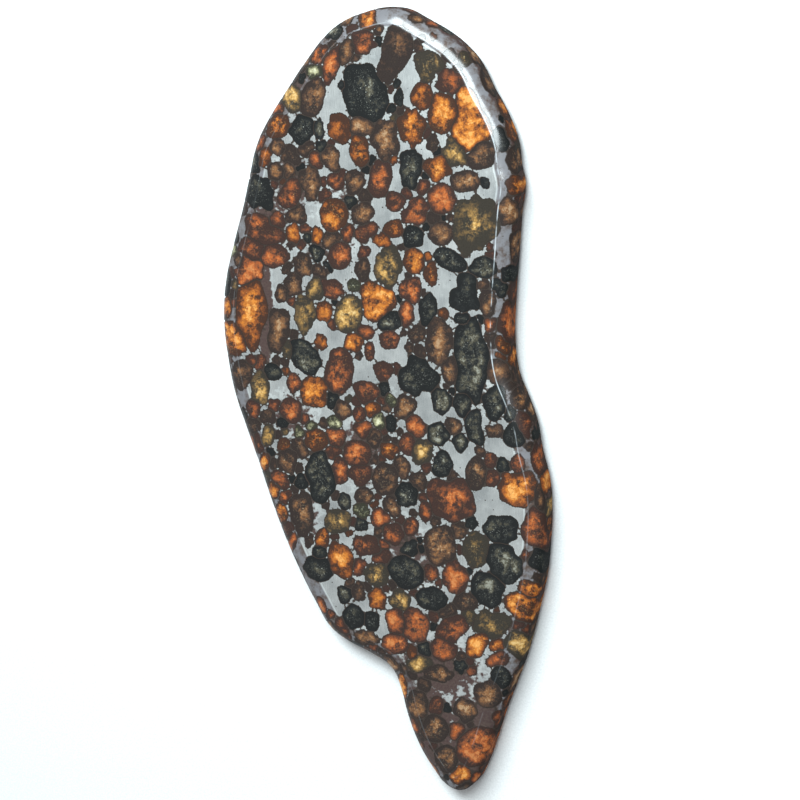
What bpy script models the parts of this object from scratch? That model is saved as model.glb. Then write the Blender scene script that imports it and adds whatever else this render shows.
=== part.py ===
"""A polished slice of a stony-iron (pallasite) meteorite, lying on its sawn back face.

The slice is one natural piece: olivine crystals grown together with a nickel-iron network, sawn to a slab,
ground round its rim and polished flush on both faces. It is modelled as one solid.
Metres, +Z up. The broad end points to +Y, and the origin is under the middle of the slice, on the back face.
"""
import math

import bmesh
import bpy

MM = 0.001

THICKNESS = 7.5 * MM  # sawn face to sawn face
BEVEL_WIDTH = 3.0 * MM  # from the crease on a face out to the rim, seen from above
BEVEL_DEPTH = 2.2 * MM  # how far the ground bevel drops from the face to the upright wall
CREASE_ANGLE = math.radians(30)  # where on its arc the bevel leaves the face, which leaves a faint crease
BEVEL_STEPS = 5  # straight steps along the bevel's arc
SPLINE_STEPS = 4  # straight steps between two outline points
WELD_DISTANCE = 0.01 * MM
SMOOTH_ANGLE = math.radians(14)

# The slice seen from above, in mm, clockwise from the top of the broad end: the photographed outline, with
# a point wherever it bends. Its box's middle is brought over the origin.
OUTLINE_MIDDLE = (0.45, 0.21)
BROAD_END = [
    (-3.2, 73.7), (1.7, 74.7), (4.9, 74.4), (8.2, 72.8), (14.1, 69.5), (16.9, 67.2),
    (19.3, 64.5), (21.7, 60.0), (24.3, 55.6), (26.6, 50.0),
]
RIGHT_SIDE = [
    (27.2, 45.8), (27.9, 42.6), (27.3, 37.0), (26.8, 29.5), (26.3, 22.1), (26.1, 13.5),
    (26.9, 7.6), (28.9, 2.8), (30.6, -1.6), (31.7, -7.0), (33.2, -12.7), (33.7, -18.5),
    (33.5, -24.5), (32.9, -31.0), (31.4, -38.0), (29.4, -46.0), (27.3, -52.0),
]
TAIL = [
    (24.9, -58.5), (23.2, -64.0), (21.4, -69.0), (19.6, -72.4), (17.2, -74.2), (14.2, -73.6),
    (11.2, -70.4), (8.2, -65.8), (5.8, -60.0), (4.4, -55.0),
]
LEFT_SIDE = [
    (2.6, -51.4), (-1.4, -49.0), (-6.8, -46.8), (-10.4, -44.4), (-13.3, -40.0), (-16.2, -34.9),
    (-19.3, -28.7), (-22.4, -21.3), (-25.4, -13.1), (-28.0, -6.3), (-30.5, 0.6), (-31.9, 7.0),
    (-32.8, 14.5), (-32.3, 22.5), (-30.6, 29.5), (-28.5, 36.7), (-27.1, 42.4), (-25.3, 49.2),
    (-22.6, 54.2), (-19.1, 59.2), (-14.8, 65.0), (-10.4, 70.0), (-7.0, 72.3),
]


def clear_scene():
    for thing in list(bpy.data.objects):
        bpy.data.objects.remove(thing)


def new_collection(name):
    group = bpy.data.collections.new(name)
    bpy.context.scene.collection.children.link(group)
    return group


def stone_material():
    """Dark amber-brown stone, polished."""
    finish = bpy.data.materials.new("polished_pallasite")
    finish.use_nodes = True
    shader = finish.node_tree.nodes["Principled BSDF"]
    shader.inputs["Base Color"].default_value = (0.13, 0.075, 0.045, 1.0)
    shader.inputs["Roughness"].default_value = 0.22
    shader.inputs["Metallic"].default_value = 0.3
    return finish


def rim_section():
    """The rim cut across, front crease to back crease, as (outwards, height above the middle)."""
    wall_top = THICKNESS / 2 - BEVEL_DEPTH
    reach = 1 - math.sin(CREASE_ANGLE)
    upper = []
    for step in range(BEVEL_STEPS + 1):
        turn = CREASE_ANGLE + (math.pi / 2 - CREASE_ANGLE) * step / BEVEL_STEPS
        outwards = BEVEL_WIDTH * ((math.sin(turn) - math.sin(CREASE_ANGLE)) / reach - 1)
        height = wall_top + BEVEL_DEPTH * math.cos(turn) / math.cos(CREASE_ANGLE)
        upper.append((outwards, height))
    lower = [(outwards, -height) for outwards, height in reversed(upper)]
    return upper + lower


def rim_guide(group):
    """The rim's cross-section as a guide curve, which is swept round the outline."""
    section = rim_section()
    curve = bpy.data.curves.new("rim_section", "CURVE")
    curve.dimensions = "2D"
    line = curve.splines.new("POLY")
    line.points.add(len(section) - 1)
    for point, (outwards, height) in zip(line.points, section):
        point.co = (-outwards, height, 0, 1)
    guide = bpy.data.objects.new("rim_section", curve)
    guide.hide_render = True
    guide.display_type = "WIRE"
    group.objects.link(guide)
    return guide


def outline_curve(guide, group):
    """The outline as a smooth closed curve, filled on both faces, with the rim swept round it."""
    places = BROAD_END + RIGHT_SIDE + TAIL + LEFT_SIDE
    curve = bpy.data.curves.new("outline", "CURVE")
    curve.dimensions = "2D"
    curve.resolution_u = SPLINE_STEPS
    curve.fill_mode = "BOTH"
    curve.bevel_mode = "OBJECT"
    curve.bevel_object = guide
    line = curve.splines.new("BEZIER")
    line.bezier_points.add(len(places) - 1)
    middle_x, middle_y = OUTLINE_MIDDLE
    for point, (x, y) in zip(line.bezier_points, places):
        point.co = ((x - middle_x) * MM, (y - middle_y) * MM, 0)
        point.handle_left_type = point.handle_right_type = "AUTO"
    line.use_cyclic_u = True
    outline = bpy.data.objects.new("outline", curve)
    group.objects.link(outline)
    return outline


def make_slice(group, guides):
    """The slice as one closed mesh, standing on its back face."""
    guide = rim_guide(guides)
    outline = outline_curve(guide, guides)
    bpy.context.view_layer.update()
    seen = outline.evaluated_get(bpy.context.evaluated_depsgraph_get())
    mesh = bpy.data.meshes.new_from_object(seen)
    mesh.name = "slice"
    work = bmesh.new()
    work.from_mesh(mesh)
    bmesh.ops.remove_doubles(work, verts=work.verts, dist=WELD_DISTANCE)
    bmesh.ops.translate(work, verts=work.verts, vec=(0, 0, THICKNESS / 2))
    bmesh.ops.recalc_face_normals(work, faces=work.faces)
    work.to_mesh(mesh)
    work.free()
    mesh.materials.clear()
    mesh.materials.append(stone_material())
    mesh.shade_smooth()
    mesh.set_sharp_from_angle(angle=SMOOTH_ANGLE)
    slab = bpy.data.objects.new("slice", mesh)
    group.objects.link(slab)
    bpy.data.objects.remove(outline)
    return slab


clear_scene()
make_slice(new_collection("pallasite_slice"), new_collection("guides"))
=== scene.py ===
import math
import random

import bpy
import numpy as np
from mathutils import Matrix, Vector
from mathutils.geometry import delaunay_2d_cdt
from mathutils.kdtree import KDTree


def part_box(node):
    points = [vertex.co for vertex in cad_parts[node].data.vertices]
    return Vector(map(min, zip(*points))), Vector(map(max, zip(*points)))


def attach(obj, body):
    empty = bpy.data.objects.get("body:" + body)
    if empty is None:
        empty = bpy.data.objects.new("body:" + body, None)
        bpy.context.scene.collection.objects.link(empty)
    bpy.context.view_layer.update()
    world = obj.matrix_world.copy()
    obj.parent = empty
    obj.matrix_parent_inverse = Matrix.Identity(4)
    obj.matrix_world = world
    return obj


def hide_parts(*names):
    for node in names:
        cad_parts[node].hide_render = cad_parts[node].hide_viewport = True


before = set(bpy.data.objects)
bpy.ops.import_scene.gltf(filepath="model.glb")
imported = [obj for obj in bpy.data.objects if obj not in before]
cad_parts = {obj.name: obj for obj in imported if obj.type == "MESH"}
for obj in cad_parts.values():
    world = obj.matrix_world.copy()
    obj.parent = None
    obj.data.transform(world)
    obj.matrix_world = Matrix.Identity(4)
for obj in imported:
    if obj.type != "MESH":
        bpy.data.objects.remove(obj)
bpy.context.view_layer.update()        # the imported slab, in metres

mm = 0.001

# The sawn slab's own sizes in mm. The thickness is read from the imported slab.
slab = {
    "thickness": (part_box("slice")[1].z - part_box("slice")[0].z) / mm,
    "bevelWidth": 3.0,
    "bevelDepth": 2.2,
    "creaseAngle": 30.0,     # degrees along the bevel's arc where it leaves the face
    "creaseSoft": 0.12,      # half the width of the line along the crease, where a highlight is painted
    "creaseRound": 0.7,      # how far into the face the polish rounds it
    "loopStep": 0.5,         # spacing of the crease line's points
    "wallTuck": 1.6,         # how far a crystal's hidden wall leans in under the rim
}

# The camera, in mm and degrees. Lean is how far it stands off the face's upright.
cameraView = {
    "lens": 100.0,
    "sensor": 36.0,
    "distance": 420.0,
    "leanX": 22.0,
    "leanY": 9.0,
    "target": (4.55, 1.19, slab["thickness"]),
}

# How the crystals are cut and meshed, in mm.
crystalCut = {
    "readMiddle": (0.45, 0.21),   # the places below were read with the slab's middle here
    "roughness": 0.15,            # how uneven an outline is, as a share of its radius
    "swell": 1.06,                # the sizes below were read inside the dark rims
    "corners": 34,                # points on an outline of the usual size
    "veinWidth": 0.14,            # metal left between two crystals that touch
    "hairline": 0.03,             # the gap all round each crystal
    "innerRings": (0.30, 0.85),   # rings of points inside each outline
    "outerRing": 0.26,            # and one ring outside it, in the metal
    "rimFade": 2.6,               # over how many dark rims a crystal brightens
    "smallest": 0.35,             # an outline narrower than this is left out
    "faceGrid": 0.95,             # spacing of the points between the outlines
    "rimGrid": 0.62,              # and the same on the rim
    "rimStart": -0.3,             # past this distance from the crease a place counts as rim
    "backDrift": 1.3,             # how far the pattern wanders from front to back
    "driftOver": 7.0,             # how far in from the crease that wandering reaches its full size
    "rimSlide": 1.1,              # how far it slides along the rim on the back half
    "slideOver": 1.9,             # how far over the surface from mid-wall that slide grows
    "slideIn": 2.5,               # how far into the back face it dies out
    "seed": 11,
}

pointBlock = 1500   # points handled at once, to spare memory

# How a spot in the camera's view is followed back to the layout. Lengths are in mm.
sightSearch = {"rounds": 22, "longestStep": 0.8, "beyondRim": 1.2, "close": 0.25}

# Places are (x, y, wide, tall, turn, dark rim) as seen from the camera on the face, in mm and degrees. Some
# have a seventh value, how strongly three-cornered they are. The dark rim sets how wide the painted shade
# round the edge is. A kind's colours run from dark to bright. Spark is the colour of its painted glints, and
# lift brightens or darkens it as a whole.
amberCrystals = {
    "name": "amber_crystals", "slot": "olivine_amber", "lift": 0.04,
    "dark": (0.034, 0.014, 0.008), "body": (0.19, 0.052, 0.011), "bright": (0.42, 0.135, 0.017),
    "spark": (0.74, 0.42, 0.14),
    "places": [
        (-7.2, 52.3, 5.2, 5.0, 0, 1.1), (-3.2, 48.2, 3.8, 6.0, 8, 0.5), (7.3, 52.6, 4.4, 7.6, 4, 0.5),
        (9.4, 58.3, 4.2, 4.7, 0, 0.7), (13.5, 55.2, 5.8, 6.8, 25, 0.4),
        (18.8, 53.6, 7.0, 11.0, 14, 0.25, 0.15),
        (12.5, 45.2, 5.2, 4.4, 0, 0.5), (3.6, 33.6, 4.3, 3.2, 20, 0.4), (1.5, 31.6, 3.6, 2.8, 0, 0.4),
        (-8.5, 36.0, 6.0, 5.8, 30, 0.5), (-20.0, 52.5, 5.2, 4.0, 35, 0.4), (-22.7, 46.7, 2.5, 3.4, 0, 0.5),
        (-17.0, 32.3, 2.8, 3.6, 0, 0.4), (-12.0, 32.0, 2.4, 3.0, 0, 0.4), (25.2, 56.6, 1.8, 5.6, 24, 0.4),
        (26.9, 52.4, 2.2, 4.4, 18, 0.4), (27.8, 42.4, 3.6, 3.6, 0, 0.6), (11.2, 25.5, 2.8, 4.1, 0, 0.4),
        (7.8, 27.8, 4.0, 4.6, 0, 0.4), (0.3, 20.0, 7.0, 6.5, 40, 0.3, 0.16), (-10.6, 17.6, 3.2, 3.8, 0, 0.4),
        (-11.3, 11.7, 2.5, 3.0, 0, 0.4), (-4.4, 12.0, 3.9, 3.6, 30, 0.4), (-26.0, 17.0, 6.4, 13.6, -2, 0.95),
        (-29.9, 11.6, 5.4, 6.6, 25, 0.45), (-31.6, 17.8, 2.4, 4.8, 0, 0.2), (25.6, 12.8, 3.0, 3.0, 0, 0.3),
        (-12.4, -7.4, 4.6, 4.4, 0, 0.4), (-19.3, -9.0, 2.4, 3.4, 0, 0.3), (2.8, -8.4, 3.6, 3.0, 0, 0.5),
        (28.6, -14.0, 7.2, 6.6, 0, 0.7), (33.8, -12.6, 2.0, 5.0, 0, 0.4), (-7.4, -30.6, 5.0, 7.0, 15, 0.8),
        (-11.2, -26.6, 2.8, 3.8, 0, 0.3), (0.3, -37.5, 3.8, 3.8, 0, 0.5), (29.8, -36.4, 7.0, 5.0, -20, 0.3),
        (31.2, -32.8, 4.6, 3.2, 0, 0.3), (7.5, -47.5, 2.0, 3.0, 0, 0.3), (20.7, -44.6, 4.0, 5.0, -30, 0.4),
        (5.6, -54.0, 1.5, 5.0, 10, 0.2), (-1.5, 72.5, 3.4, 4.2, 0, 0.3), (-23.4, -12.3, 2.3, 3.2, 0, 0.2),
        (-21.6, -17.8, 2.6, 3.0, 0, 0.2), (-20.0, -22.3, 2.6, 4.0, 0, 0.2), (-12.8, 2.0, 5.4, 6.0, 0, 0.5),
    ],
}

honeyCrystals = {
    "name": "honey_crystals", "slot": "olivine_amber", "lift": 0.0,
    "dark": (0.022, 0.018, 0.013), "body": (0.105, 0.062, 0.024), "bright": (0.36, 0.195, 0.052),
    "spark": (0.72, 0.54, 0.27),
    "places": [
        (-17.0, 57.8, 3.8, 5.4, 20, 0.4), (10.6, 64.0, 5.2, 5.2, 0, 0.6), (15.8, 48.0, 4.3, 5.2, 10, 0.5),
        (19.9, 35.0, 7.7, 11.5, 0, 1.7), (2.6, 26.6, 5.4, 7.4, 0, 0.6), (-5.5, 17.3, 6.0, 6.5, -20, 0.4),
        (-12.4, 21.7, 4.0, 4.0, 0, 0.5), (-14.7, 17.0, 4.2, 7.0, 0, 0.9), (-18.3, 10.0, 2.8, 3.4, 0, 0.5),
        (-22.6, -7.0, 2.6, 4.4, 0, 0.3), (9.4, -8.2, 4.5, 4.4, 0, 0.5), (23.5, -40.3, 6.0, 5.8, 0, 0.9),
        (19.0, -39.3, 3.0, 3.4, 0, 0.5), (29.0, -43.6, 5.2, 4.8, 0, 0.5), (9.0, -49.5, 4.8, 3.4, 0, 0.4),
        (5.0, -37.3, 4.2, 3.8, 0, 0.5), (-8.0, -22.9, 5.4, 4.6, 0, 0.8), (0.2, -32.8, 4.8, 4.4, 0, 0.6),
        (20.4, -26.2, 5.0, 6.6, 0, 0.9), (-24.3, 2.0, 4.0, 6.0, 0, 0.5),
    ],
}

rustCrystals = {
    "name": "rust_crystals", "slot": "olivine_brown", "lift": 0.0,
    "dark": (0.027, 0.013, 0.010), "body": (0.104, 0.033, 0.015), "bright": (0.29, 0.070, 0.015),
    "spark": (0.54, 0.25, 0.09),
    "places": [
        (-26.4, 25.0, 6.4, 6.6, -6, 0.15), (-25.4, 28.8, 6.5, 5.0, 0, 0.4), (26.7, 17.0, 4.2, 7.0, 0, 0.5),
        (28.0, 22.4, 3.0, 4.0, 0, 0.5), (29.6, -2.0, 3.2, 5.0, 0, 0.4), (32.6, -8.4, 2.4, 6.0, 10, 0.4),
        (-2.4, 68.3, 5.0, 4.0, 0, 0.4), (15.0, 61.0, 4.6, 4.8, 0, 0.6), (1.0, 43.0, 4.5, 7.0, -10, 0.5),
        (8.2, 37.0, 5.5, 4.5, 0, 0.4), (13.3, 39.5, 5.5, 5.5, 0, 0.5), (4.0, 38.8, 3.8, 3.4, 0, 0.4),
        (-23.5, 32.5, 7.0, 6.0, 0, 0.5), (7.2, 22.3, 4.0, 5.0, 0, 0.4), (-9.0, 22.0, 4.6, 3.6, 0, 0.4),
        (-7.5, 6.3, 5.6, 8.4, 0, 0.5), (-26.3, 7.4, 2.0, 2.6, 0, 0.3), (-25.7, -1.9, 3.0, 3.6, 0, 0.4),
        (-17.0, 3.5, 3.0, 3.5, 0, 0.4), (-2.0, 2.6, 5.0, 4.0, 0, 0.4), (1.6, 6.8, 3.8, 3.5, 0, 0.4),
        (-1.2, 10.4, 2.0, 3.5, 0, 0.3), (2.8, 12.8, 4.0, 3.4, 0, 0.4), (-2.0, 14.0, 3.0, 3.0, 0, 0.4),
        (6.2, 17.8, 3.2, 4.8, 0, 0.4), (-17.7, -1.9, 4.5, 4.6, 0, 0.4), (-7.5, -13.0, 3.5, 5.0, 0, 0.4),
        (-3.8, -9.4, 5.4, 5.0, 0, 0.4), (-3.2, -13.4, 4.6, 4.0, 0, 0.4), (23.2, -9.0, 2.6, 2.6, 0, 0.3),
        (-3.4, -1.8, 2.5, 3.0, 0, 0.3), (-3.9, 0.7, 2.0, 2.0, 0, 0.3), (-7.3, 28.3, 5.0, 4.6, 0, 0.4),
        (-2.3, 29.2, 2.2, 2.4, 0, 0.3), (-21.5, 28.0, 7.0, 4.6, 0, 0.4), (28.6, -9.4, 2.5, 4.0, 0, 0.3),
        (15.8, -42.0, 4.6, 7.6, -50, 0.5), (14.0, -46.0, 5.0, 5.0, 0, 0.4), (8.0, -42.0, 5.6, 6.4, 0, 0.4),
        (4.3, -41.6, 4.2, 5.2, 0, 0.4), (4.0, -46.0, 5.5, 4.0, 0, 0.4), (16.3, -32.0, 5.0, 6.0, 0, 0.5),
        (7.3, -22.8, 3.0, 3.4, 0, 0.3), (10.2, -19.7, 2.4, 4.0, 0, 0.3), (-17.7, -28.0, 2.0, 3.6, 0, 0.3),
        (32.2, -21.4, 6.0, 6.4, 0, 0.6), (-2.0, -27.2, 5.0, 4.0, 0, 0.5), (21.0, -64.5, 7.0, 9.0, -40, 0.5),
        (6.5, -7.0, 3.5, 4.0, 0, 0.4), (-8.8, 64.0, 3.2, 7.0, -20, 0.4), (-17.5, 39.8, 4.6, 5.0, 0, 0.4),
        (15.4, -17.0, 9.0, 8.0, 0, 0.9),
    ],
}

brownCrystals = {
    "name": "brown_crystals", "slot": "olivine_brown", "lift": -0.02,
    "dark": (0.018, 0.012, 0.010), "body": (0.058, 0.030, 0.018), "bright": (0.175, 0.076, 0.028),
    "spark": (0.46, 0.34, 0.21),
    "places": [
        (22.6, 61.0, 2.4, 6.0, 28, 0.5), (20.0, 65.6, 1.8, 6.4, 35, 0.4), (16.0, 70.4, 1.6, 5.0, 50, 0.4),
        (27.6, 47.0, 3.0, 5.0, 0, 0.4), (26.2, 37.4, 5.0, 4.6, 0, 0.5),
        (28.0, 31.0, 2.4, 6.0, 0, 0.4), (33.0, -15.4, 2.0, 6.0, 0, 0.4), (31.6, 1.4, 2.6, 6.0, 15, 0.4),
        (3.8, 65.9, 5.4, 11.5, -20, 1.5), (-6.0, 66.5, 3.2, 4.5, 0, 0.4), (-12.7, 58.0, 5.0, 7.0, -15, 0.5),
        (-2.6, 52.8, 5.0, 4.0, 0, 0.4), (2.0, 50.3, 5.7, 7.0, 0, 0.6), (11.5, 49.8, 2.2, 3.0, 0, 0.3),
        (21.0, 47.7, 5.8, 4.8, 0, 0.5), (17.9, 42.8, 5.6, 3.8, 0, 0.5), (-9.0, 46.6, 4.0, 4.0, 0, 0.4),
        (-4.2, 42.3, 4.0, 4.0, 0, 0.4), (-2.6, 36.4, 3.8, 4.6, 0, 0.5), (13.2, 33.0, 5.2, 3.8, 0, 0.5),
        (-20.1, 48.7, 3.0, 3.0, 0, 0.4), (-20.6, 44.0, 3.2, 3.2, 0, 0.4), (-13.4, 42.0, 4.0, 6.0, 0, 0.5),
        (-17.0, 22.5, 3.6, 4.4, 0, 0.5), (-19.5, 20.7, 2.6, 3.4, 0, 0.4), (-20.2, 13.6, 4.4, 8.6, -8, 0.7),
        (-28.0, 4.8, 4.6, 5.2, 0, 0.5), (12.8, 13.0, 5.4, 8.4, 0, 0.7), (24.0, -3.4, 3.2, 2.6, 0, 0.4),
        (20.3, -11.7, 4.4, 5.6, 0, 0.5), (-18.6, -11.6, 4.0, 5.0, 0, 0.4),
        (2.0, -14.0, 5.0, 6.0, 0, 0.4), (-6.8, -1.3, 3.5, 3.4, 0, 0.4), (22.5, 20.5, 3.0, 5.0, 0, 0.4),
        (28.9, 3.0, 3.5, 4.0, 0, 0.5), (-2.6, 25.8, 3.2, 3.8, 0, 0.4), (-15.0, 26.4, 4.0, 4.0, 0, 0.4),
        (-28.2, 26.6, 2.6, 3.6, 0, 0.3), (13.2, -26.0, 6.0, 7.4, 0, 0.5), (18.5, -36.5, 5.0, 3.5, 0, 0.4),
        (-3.6, -36.4, 2.6, 3.8, 0, 0.4), (-2.0, -45.4, 5.0, 2.6, 0, 0.3), (18.4, -57.6, 4.6, 4.4, 0, 0.4),
        (12.8, -51.0, 6.0, 3.0, 0, 0.4), (-15.5, -22.0, 4.5, 9.0, 10, 0.5), (23.0, -54.0, 5.4, 5.0, 0, 0.5),
        (24.5, 7.8, 4.6, 4.8, 0, 1.0), (15.5, 7.5, 4.0, 5.0, 0, 0.5),
        (8.6, -57.6, 4.4, 5.2, 0, 0.5), (12.2, -62.0, 5.0, 5.6, 20, 0.5), (14.6, -67.6, 4.4, 5.2, 0, 0.4),
    ],
}

blackCrystals = {
    "name": "black_crystals", "slot": "olivine_black", "lift": -0.06,
    "dark": (0.005, 0.006, 0.006), "body": (0.012, 0.0135, 0.013), "bright": (0.058, 0.050, 0.032),
    "spark": (0.40, 0.40, 0.34),
    "places": [
        (-2.0, 58.8, 9.0, 10.5, 0, 0.5), (-6.7, 60.3, 1.6, 1.6, 0, 0.3), (-15.0, 52.0, 4.8, 5.0, 0, 0.4),
        (-11.5, 52.0, 2.1, 3.8, 0, 0.3), (3.2, 56.0, 1.8, 1.8, 0, 0.3), (4.8, 58.0, 1.8, 3.0, 0, 0.3),
        (7.1, 45.0, 4.1, 7.2, 0, 0.5), (21.8, 42.6, 1.9, 1.9, 0, 0.3), (7.6, 32.3, 4.0, 4.0, 0, 0.4),
        (-24.3, 40.0, 6.5, 6.0, 0, 0.5), (-13.9, 31.5, 1.8, 1.8, 0, 0.3), (-31.4, 22.6, 2.0, 6.0, 0, 0.4),
        (15.0, 28.2, 6.0, 4.0, -15, 0.4), (18.0, 22.0, 5.5, 6.6, 0, 0.9), (21.6, 27.0, 5.0, 4.0, 0, 0.4),
        (-14.7, 8.7, 6.0, 6.6, 30, 0.4), (3.3, 16.3, 4.5, 4.0, 0, 0.4),
        (10.6, 18.8, 3.3, 6.0, 0, 0.4), (19.2, 9.6, 6.6, 14.6, 5, 0.5), (8.6, 6.0, 7.5, 7.0, 0, 0.5),
        (13.4, 1.7, 4.0, 4.6, 0, 0.4), (12.7, -4.7, 4.3, 4.3, 0, 0.4), (17.5, 1.3, 3.5, 4.5, 0, 0.4),
        (20.0, -2.9, 3.6, 6.0, 0, 0.4), (17.2, -6.0, 2.9, 3.4, 0, 0.4), (24.0, 2.0, 5.0, 5.6, 0, 0.5),
        (28.0, -3.9, 4.4, 4.6, 0, 0.5), (13.6, -10.4, 4.0, 4.5, 0, 0.4), (6.3, -16.7, 4.5, 4.5, 0, 0.4),
        (-11.5, -14.5, 6.0, 9.0, 0, 0.5), (-19.5, -4.4, 2.5, 2.0, 0, 0.3), (25.4, -22.0, 6.3, 5.6, 0, 0.5),
        (26.0, -28.4, 7.2, 7.4, 0, 0.5), (33.2, -27.2, 4.0, 4.4, 0, 0.5), (6.2, -31.8, 7.4, 6.0, 0, 0.5),
        (22.8, -33.6, 6.6, 6.6, 0, 0.5), (11.5, -36.5, 6.0, 4.4, 0, 0.5), (-6.6, -37.3, 2.8, 3.6, 0, 0.4),
        (-4.6, -41.5, 4.4, 4.8, 0, 0.5), (-12.0, -32.5, 6.0, 5.0, 0, 0.5), (-11.8, -29.6, 3.0, 3.4, 0, 0.4),
        (-6.5, -19.0, 2.6, 3.4, 0, 0.3), (-3.0, -23.2, 2.6, 2.6, 0, 0.3), (25.6, -50.4, 4.0, 4.0, 0, 0.4),
        (-0.9, -42.0, 3.2, 3.8, 0, 0.4), (26.9, 26.0, 3.6, 3.0, 0, 0.4),
    ],
}

paleCrystals = {
    "name": "pale_crystals", "slot": "olivine_green", "lift": 0.0,
    "dark": (0.020, 0.019, 0.012), "body": (0.120, 0.112, 0.062), "bright": (0.34, 0.32, 0.19),
    "spark": (0.70, 0.70, 0.52),
    "places": [
        (-16.0, -6.0, 2.0, 2.4, 0, 0.2), (-13.4, -4.7, 2.2, 2.0, 0, 0.2), (-8.5, -3.6, 3.0, 2.6, 0, 0.2),
        (0.7, -2.9, 2.4, 3.0, 0, 0.2), (3.2, 1.2, 2.2, 2.2, 0, 0.2), (-4.4, 22.8, 2.6, 2.4, 0, 0.3),
        (-3.0, -20.5, 3.0, 3.0, 0, 0.3), (-30.0, 29.0, 2.0, 3.0, 0, 0.2), (-12.4, 62.8, 3.4, 2.6, 0, 0.3),
    ],
}

crystalKinds = [amberCrystals, honeyCrystals, rustCrystals, brownCrystals, blackCrystals, paleCrystals]

# More crystals, sown where the placed ones leave room, and the metal pools that they keep out of. Each round
# has its smallest and largest radius, and the room that it needs round its middle, all in mm.
sownCrystals = {
    "tries": 9000, "rounds": ((1.4, 2.7, 0.95), (0.7, 1.5, 0.5)), "clear": 0.22, "corners": 22, "seed": 5,
    "steps": (0.05, 3.6, 0.07), "unevenness": 0.12, "sharpest": 0.06, "poolRoom": 0.6, "rim": 0.35,
    "mix": [(rustCrystals, 0.33), (brownCrystals, 0.38), (blackCrystals, 0.20), (amberCrystals, 0.05),
            (honeyCrystals, 0.04)],
}
metalPools = [
    (23.5, 43, 4, 8), (24, 36, 3, 6), (6.5, 63, 2.5, 12), (12.5, 51.5, 2, 3), (-7.7, 47.5, 5, 3),
    (5, 42, 2, 3), (-13, 37.5, 3, 5), (0.8, 37.5, 2.5, 4), (17.5, 39.5, 4, 2.5), (-9.5, 57.5, 3, 8),
    (-2, 64.8, 3, 3), (-28, 32.5, 3, 6), (-20.8, 23, 2, 5), (-11.5, 14.5, 3, 6), (-7.7, 12, 3, 2),
    (3, 10, 5, 3.5), (13.8, 22, 6, 6), (13, 30.5, 6, 2.5), (-2.6, 7, 3, 4), (-5.5, 24.5, 2, 5),
    (-26, 9.5, 4, 2), (-28.5, 1, 3, 3), (-19, 2, 3.5, 5), (4, 4, 2.5, 3), (10.5, -1, 7, 3),
    (-22.7, 17.5, 1.0, 18), (16.5, -8.5, 5, 4), (23.5, -6.5, 3, 3), (27.5, -7.5, 6, 3), (22.5, -17, 6, 4),
    (13, -13, 3, 2), (-6.5, -16.3, 4, 3), (-5, -3.4, 4, 1.5), (-12.4, -1.8, 4, 3), (-12.4, -22.5, 3.5, 5),
    (9.8, -23, 3.5, 3.5), (23, -18.5, 10, 3), (29, -31.5, 5, 2), (-9, -38, 4, 4), (2, -42, 2, 5),
    (-2, -38.7, 4, 1.5), (18.3, -43, 3, 4), (21, -37, 3, 1.5), (-16, -28.8, 2, 2.5),
    (-13.5, -36, 2.5, 5), (-6.7, -26.7, 3, 2), (22.8, -58, 3.5, 4), (18.4, -52.4, 5, 4),
    (15, -55, 3, 2.5), (22, -48, 2.5, 4), (28, -47.7, 3.5, 2.5), (3, 73.4, 7, 2.4), (9, 70.8, 7, 2.6),
    (14.5, 68.3, 5, 3.5), (19.6, 62.8, 2.6, 5), (23.4, 56.5, 2.2, 5), (25.6, 31.5, 2.4, 9),
]

# The wall's metal is painted dark, partly rust and partly painted shade for dark surroundings that it
# mirrors.
wallRustAndShade = {"from": 2.5, "strength": 0.75}   # the wall goes dark from so many mm past the crease
stainFade = 1.35                             # a stain ends at this many times its size

# Rust and troilite stain in the metal: (x, y, wide, tall, strength), read in the same way as the crystals.
metalStains = [
    (-17.5, 42, 9, 13, 0.9), (-22, 35, 9, 10, 0.8), (-22.9, 17, 3.4, 24, 1.2), (-2.6, 52.8, 7, 6, 0.7),
    (-8, 39, 14, 9, 0.5), (-9, 30, 16, 7, 0.6), (-16, 60, 8, 14, 0.6), (-6, 66, 10, 7, 0.5),
    (-3, -9, 11, 15, 0.8), (0, 1, 11, 7, 0.5), (-17, -3, 10, 12, 0.7), (-14, -22, 6, 13, 0.6),
    (5, -25.5, 10, 9, 0.9), (10, -30, 12, 12, 0.6), (2, -36, 8, 6, 0.4), (20, 5, 9, 15, 0.4),
    (13, -50, 20, 13, 0.9), (20, -63, 12, 20, 1.2), (11, -62, 12, 20, 1.2), (15, -17, 10, 9, 0.4),
]


# Plane geometry, all in mm.


def creaseLoop():
    # the flat face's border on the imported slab, counter-clockwise
    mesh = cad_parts["slice"].data
    top = slab["thickness"] - 0.01
    key = {}
    where = []
    for vertex in mesh.vertices:
        spot = (round(vertex.co.x / mm, 3), round(vertex.co.y / mm, 3), round(vertex.co.z / mm, 3))
        where.append(key.setdefault(spot, len(key)))
    spots = np.array(list(key))
    follows = {}
    edges = set()
    for face in mesh.polygons:
        ring = [where[i] for i in face.vertices]
        if min(spots[i][2] for i in ring) > top and len(set(ring)) == 3:
            edges.update(zip(ring, ring[1:] + ring[:1]))
    for a, b in edges:
        if (b, a) not in edges:
            follows[a] = b
    start = next(iter(follows))
    loop = [start]
    while follows[loop[-1]] != start:
        loop.append(follows[loop[-1]])
    return spots[loop][:, :2]


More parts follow.
